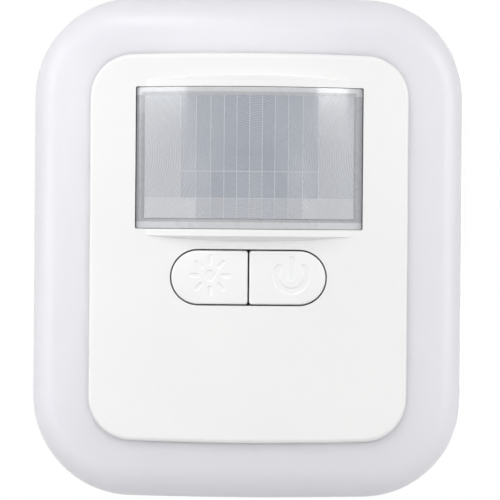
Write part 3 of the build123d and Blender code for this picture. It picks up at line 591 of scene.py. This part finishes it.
def stroke(path, half_width):
    """Outline of a thick stroke with round ends along a path."""
    first, last = path[0], path[-1]
    if len(path) == 1:
        return around(first, half_width, 0, 2 * math.pi * (1 - 1 / ARC_STEPS), ARC_STEPS - 1)
    offsets = []
    for index, point in enumerate(path):
        ahead = path[min(index + 1, len(path) - 1)] - path[max(index - 1, 0)]
        offsets.append(Vector((-ahead.y, ahead.x)).normalized() * half_width)
    left = [point + offset for point, offset in zip(path, offsets)]
    right = [point - offset for point, offset in zip(path, offsets)]
    far = math.atan2(offsets[-1].y, offsets[-1].x)
    near = math.atan2(-offsets[0].y, -offsets[0].x)
    far_end = around(last, half_width, far, far - math.pi, CAP_STEPS)[1:-1]
    near_end = around(first, half_width, near, near - math.pi, CAP_STEPS)[1:-1]
    return left + far_end + right[::-1] + near_end


def cap_point(point, lift):
    """Point over the crowned front of the buttons."""
    return (point.x, cap_axis - math.sqrt((CROWN_RADIUS + lift) ** 2 - point.x**2), point.y)


def sign_cutter(strokes):
    """Closed drafted body for each stroke, from just above the button's face to the sign's floor."""
    bm = bmesh.new()
    for path, half_width in strokes:
        grow = SIGN_SLOPE * SIGN_CLEAR / SIGN_DEPTH
        top = [bm.verts.new(cap_point(p, SIGN_CLEAR)) for p in stroke(path, half_width + grow)]
        low = [bm.verts.new(cap_point(p, -SIGN_DEPTH)) for p in stroke(path, half_width - SIGN_SLOPE)]
        bm.faces.new(top)
        bm.faces.new(low[::-1])
        for index in range(len(top)):
            after = (index + 1) % len(top)
            bm.faces.new((top[after], top[index], low[index], low[after]))
    bmesh.ops.triangulate(bm, faces=[face for face in bm.faces if len(face.verts) > 4])
    bmesh.ops.recalc_face_normals(bm, faces=bm.faces)
    mesh = bpy.data.meshes.new("sign_cutter")
    bm.to_mesh(mesh)
    bm.free()
    cutter = bpy.data.objects.new("sign_cutter", mesh)
    bpy.context.scene.collection.objects.link(cutter)
    return cutter


def sun_strokes(centre):
    """A disc with rays."""
    strokes = [([centre], SUN_RADIUS)]
    for ray in range(RAY_COUNT):
        turn = 2 * math.pi * ray / RAY_COUNT
        way = Vector((math.cos(turn), math.sin(turn)))
        strokes.append(([centre + way * RAY_INNER, centre + way * RAY_OUTER], RAY_HALF_WIDTH))
    return strokes


def power_strokes(centre):
    """An arc that is open at the top, and a bar."""
    start = math.pi / 2 + POWER_OPENING / 2
    arc = around(centre, POWER_RADIUS, start, start + 2 * math.pi - POWER_OPENING, ARC_STEPS)
    bar = [centre + Vector((0, POWER_BAR_TOP)), centre - Vector((0, POWER_BAR_BOTTOM))]
    return [(arc, POWER_HALF_WIDTH), (bar, POWER_HALF_WIDTH)]


def signed_cap(name, strokes):
    """The button's cap with its sign sunk into the front."""
    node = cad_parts[name]
    mesh = node.data.copy()
    cap = bpy.data.objects.new(name.replace("button", "cap"), mesh)
    bpy.context.scene.collection.objects.link(cap)
    bm = bmesh.new()
    bm.from_mesh(mesh)
    bmesh.ops.remove_doubles(bm, verts=bm.verts, dist=CAP_WELD)
    bm.to_mesh(mesh)
    bm.free()
    cutter = sign_cutter(strokes)
    carve = cap.modifiers.new("sign", "BOOLEAN")
    carve.operation = "DIFFERENCE"
    carve.solver = "EXACT"
    carve.object = cutter
    bpy.context.view_layer.update()
    carved = bpy.data.meshes.new_from_object(cap.evaluated_get(bpy.context.evaluated_depsgraph_get()))
    cap.modifiers.clear()
    cap.data = carved
    bpy.data.objects.remove(cutter)
    smooth(carved, CAP_EDGE)
    finish_piece(cap, name, MATERIALS["button_plastic"])
    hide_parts(name)


def snap_dome(side):
    """The dome of a switch, copied from its node to ride on the housing."""
    name = side + "_switch_dome"
    dome = bpy.data.objects.new(side + "_snap_dome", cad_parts[name].data.copy())
    bpy.context.scene.collection.objects.link(dome)
    finish_piece(dome, "housing", MATERIALS["spring_steel"])
    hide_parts(name)
    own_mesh(dome)


# ---- camera, floor and light
CAMERA_REACH = 404 * MM
CAMERA_AIM_DEPTH = 20 * MM
CAMERA_AZIMUTH = math.radians(-0.3)
CAMERA_ELEVATION = math.radians(0.65)
FOCAL_PIXELS = 2543
IMAGE_PIXELS = 500
SENSOR_WIDTH = 36.0         # in millimetres, as Blender takes it
NEAR_CLIP = 10 * MM
CAMERA_ROLL = math.radians(0.47)
CAMERA_SIDE = 0.25 * MM
CAMERA_DROP = 0.34 * MM
FLOOR_DROP = 120 * MM
FLOOR_RADIUS = 0.45
FLOOR_FADE = 0.25
FLOOR_SIDES = 96
FLOOR_GLOW = 0.12           # seen by the camera alone, so that the floor looks pale
WORLD_FILL = 0.245          # the world's strength as a light

# name, place, width, height and power
LIGHTS = [
    ("key", (-0.12, -0.24, 0.34), 0.2, 0.12, 0.40),
    ("front", (-0.02, -0.52, 0.24), 0.34, 0.2, 0.86),
    ("left_side", (-0.5, -0.12, 0.12), 0.25, 0.35, 0.80),
    ("right_side", (0.5, -0.12, 0.12), 0.25, 0.35, 0.91),
    ("left_strip", (-0.40, -0.41, 0.088), 0.27, 0.05, 0.38),
    ("right_strip", (0.38, -0.43, 0.088), 0.16, 0.05, 0.31),
    ("back", (0.12, 0.6, 0.02), 0.4, 0.25, 1.7),
]


def add_camera():
    """Straight from the front, from about as far as the photograph was taken."""
    data = bpy.data.cameras.new("camera")
    data.sensor_width = SENSOR_WIDTH
    data.lens = FOCAL_PIXELS / IMAGE_PIXELS * SENSOR_WIDTH
    data.clip_start = NEAR_CLIP
    camera = bpy.data.objects.new("camera", data)
    bpy.context.scene.collection.objects.link(camera)
    camera.matrix_world = (
        Matrix.Translation((CAMERA_SIDE, -CAMERA_AIM_DEPTH, body_middle - CAMERA_DROP))
        @ Matrix.Rotation(CAMERA_AZIMUTH, 4, "Z")
        @ Matrix.Rotation(math.pi / 2 - CAMERA_ELEVATION, 4, "X")
        @ Matrix.Translation((0, 0, CAMERA_REACH))
        @ Matrix.Rotation(CAMERA_ROLL, 4, "Z")
    )
    bpy.context.scene.camera = camera


def add_floor():
    """Pale round floor below the light, fading out towards its rim."""
    level = body_low.z - FLOOR_DROP
    turns = [2 * math.pi * side / FLOOR_SIDES for side in range(FLOOR_SIDES)]
    rim = [(FLOOR_RADIUS * math.cos(t), FLOOR_RADIUS * math.sin(t), level) for t in turns]
    floor = new_piece("floor", rim, [list(range(FLOOR_SIDES))])
    paint = Shader("floor", (0.84, 0.84, 0.84), 0.7)
    paint.vary_color(paint.ranged(paint.noise(FLOOR_NOISE, 2), 0, 1), (0.82, 0.82, 0.82))
    across = paint.node("ShaderNodeVectorMath", operation="LENGTH")
    paint.link(paint.stretched((1, 1, 0)), across.inputs[0])
    fade = paint.mapped(
        across.outputs["Value"], (FLOOR_FADE, FLOOR_RADIUS), (1, 0), interpolation_type="SMOOTHSTEP",
    )
    paint.link(fade, paint.bsdf.inputs["Alpha"])
    glow = paint.node("ShaderNodeMath", operation="MULTIPLY")
    glow.inputs[1].default_value = FLOOR_GLOW
    paint.link(paint.node("ShaderNodeLightPath").outputs["Is Camera Ray"], glow.inputs[0])
    paint.link(glow.outputs["Value"], paint.bsdf.inputs["Emission Strength"])
    floor.data.materials.append(paint.material)


def add_world():
    """White to the eye and in reflections, softer as a light."""
    world = bpy.data.worlds.new("studio")
    bpy.context.scene.world = world
    world.use_nodes = True
    tree = world.node_tree
    background = tree.nodes["Background"]
    background.inputs["Color"].default_value = (1, 1, 1, 1)
    rays = tree.nodes.new("ShaderNodeLightPath")
    seen = rays.outputs["Is Camera Ray"]
    for ray in ("Is Glossy Ray", "Is Transmission Ray"):
        either = tree.nodes.new("ShaderNodeMath")
        either.operation = "MAXIMUM"
        tree.links.new(seen, either.inputs[0])
        tree.links.new(rays.outputs[ray], either.inputs[1])
        seen = either.outputs[0]
    strength = tree.nodes.new("ShaderNodeMapRange")
    strength.inputs["To Min"].default_value = WORLD_FILL
    strength.inputs["To Max"].default_value = 1.0
    tree.links.new(seen, strength.inputs["Value"])
    tree.links.new(strength.outputs["Result"], background.inputs["Strength"])


def add_area(name, place, width, height, power):
    """Soft rectangular light, aimed at the middle of the object's front."""
    data = bpy.data.lights.new(name, "AREA")
    data.shape = "RECTANGLE"
    data.size = width
    data.size_y = height
    data.energy = power
    light = bpy.data.objects.new(name, data)
    bpy.context.scene.collection.objects.link(light)
    target = Vector((0, front_low.y, body_middle))
    turn = (target - Vector(place)).to_track_quat("-Z", "Y")
    light.matrix_world = Matrix.Translation(place) @ turn.to_matrix().to_4x4()


def main():
    bpy.context.scene.view_settings.view_transform = "Standard"
    dress_nodes()
    fresnel_rings(zone_material())
    zone_ribs(MATERIALS["rib_plastic"])
    sun = Vector((SUN_SIDE, pill_middle + SIGN_RISE))
    power = Vector((POWER_SIDE, pill_middle + SIGN_RISE))
    signed_cap("brightness_button", sun_strokes(sun))
    signed_cap("power_button", power_strokes(power))
    snap_dome("brightness")
    snap_dome("power")
    add_camera()
    add_floor()
    add_world()
    for light in LIGHTS:
        add_area(*light)


main()
